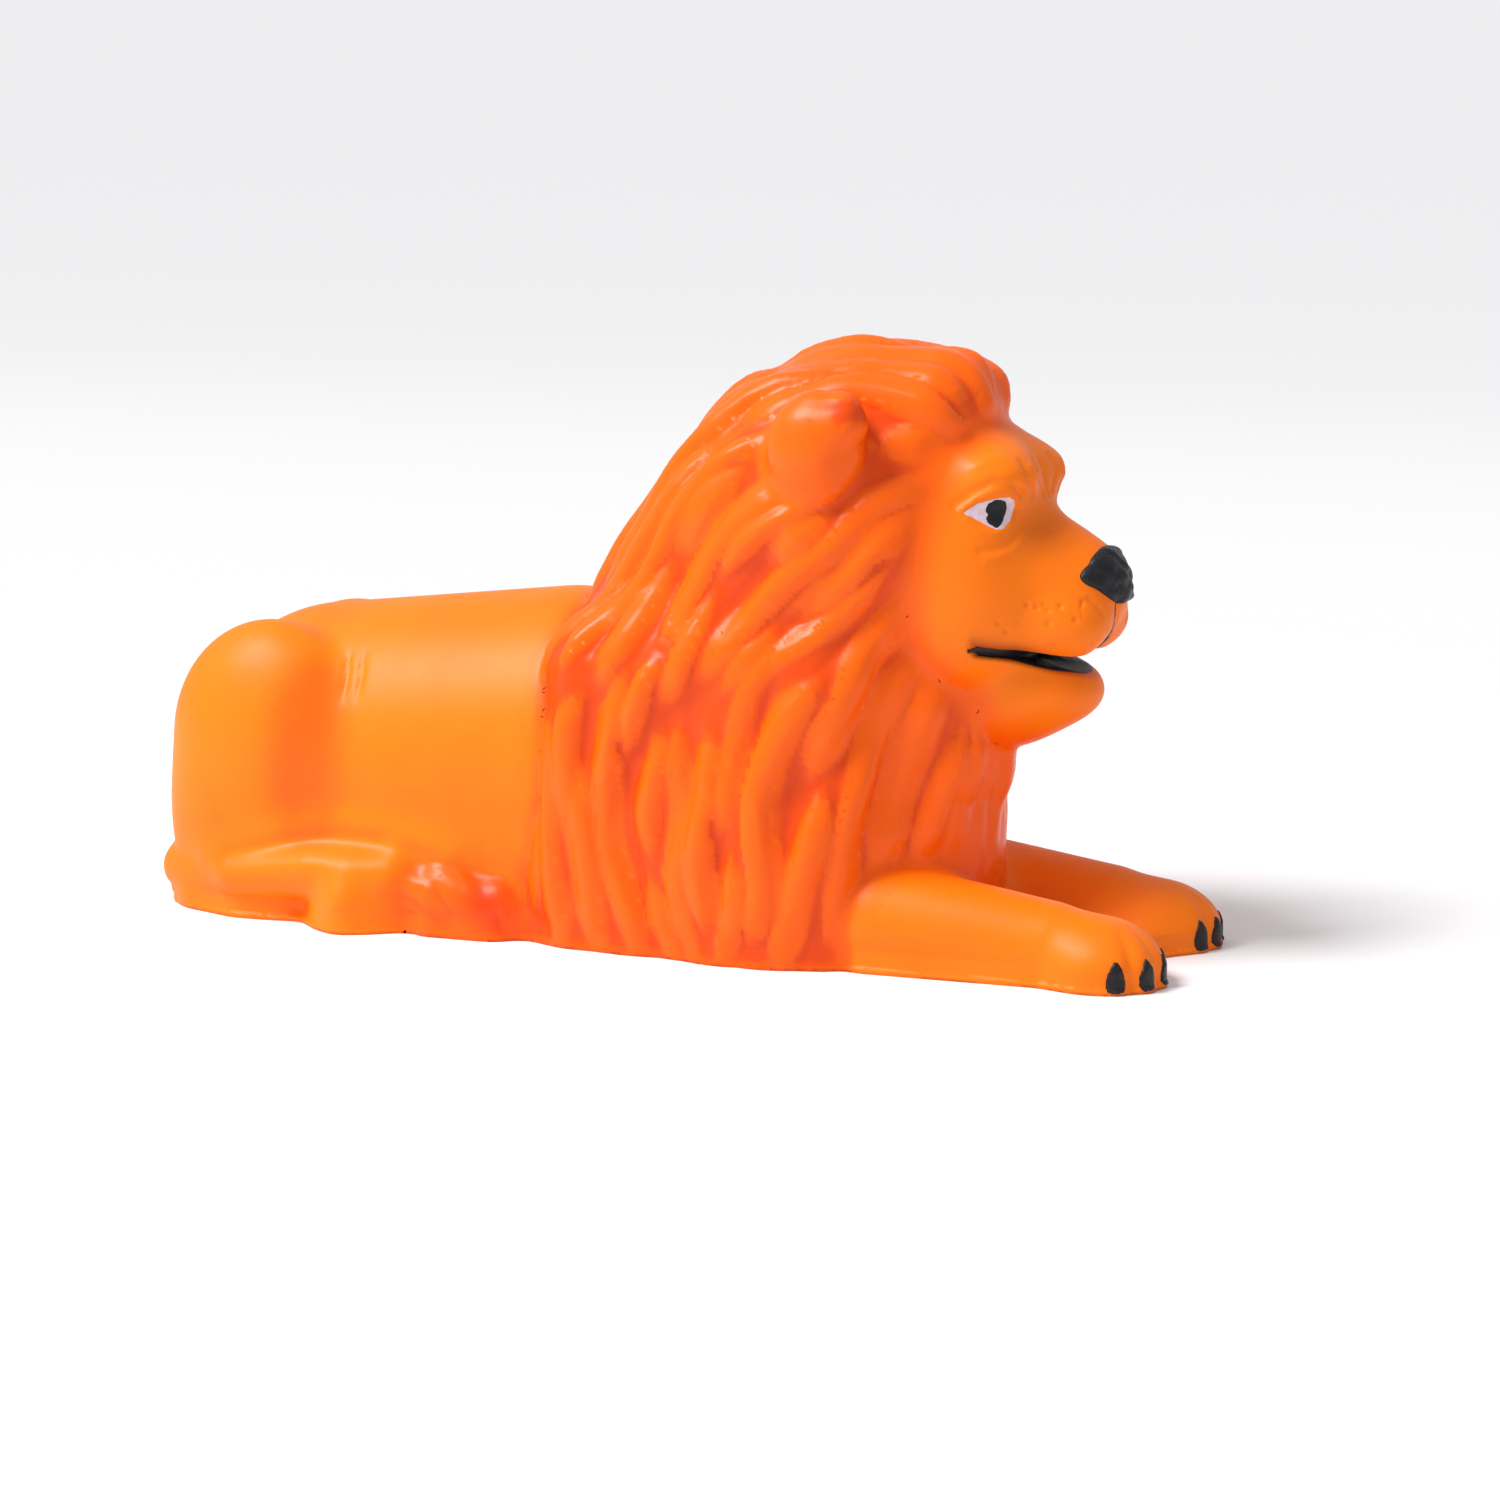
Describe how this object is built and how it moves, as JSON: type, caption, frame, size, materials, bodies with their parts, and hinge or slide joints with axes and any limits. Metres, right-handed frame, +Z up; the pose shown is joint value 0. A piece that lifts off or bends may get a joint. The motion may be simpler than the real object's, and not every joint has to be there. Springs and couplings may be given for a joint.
{
  "type": "lion figurine",
  "caption": "Lion lying with its head raised and its forelegs stretched ahead, with a full mane, painted face and claws, and a flat underside.",
  "frame": {"origin": "on the flat underside, on the centre plane, at the height of the surface the figure stands on", "axes": "+X from the tail towards the nose, +Y towards the lion's left, +Z up"},
  "size_m": [0.1317, 0.0452, 0.0723],
  "materials": {
    "body_skin": "yellow-orange painted skin, satin",
    "mane_skin": "red-orange airbrushed skin, satin to glossy",
    "eye_paint": "lilac-white brushed paint",
    "dark_paint": "slate-black brushed paint"
  },
  "bodies": {
    "root": {"body": "body_skin", "mane": "mane_skin", "tail_tuft": "mane_skin", "lip_line": "dark_paint", "nose": "dark_paint", "philtrum": "dark_paint", "eye_white_right": "eye_paint", "pupil_right": "dark_paint", "claw_right_1": "dark_paint", "claw_right_2": "dark_paint", "claw_right_3": "dark_paint", "claw_right_4": "dark_paint", "eye_white_left": "eye_paint", "pupil_left": "dark_paint", "claw_left_1": "dark_paint", "claw_left_2": "dark_paint", "claw_left_3": "dark_paint", "claw_left_4": "dark_paint"}
  },
  "joints": []
}
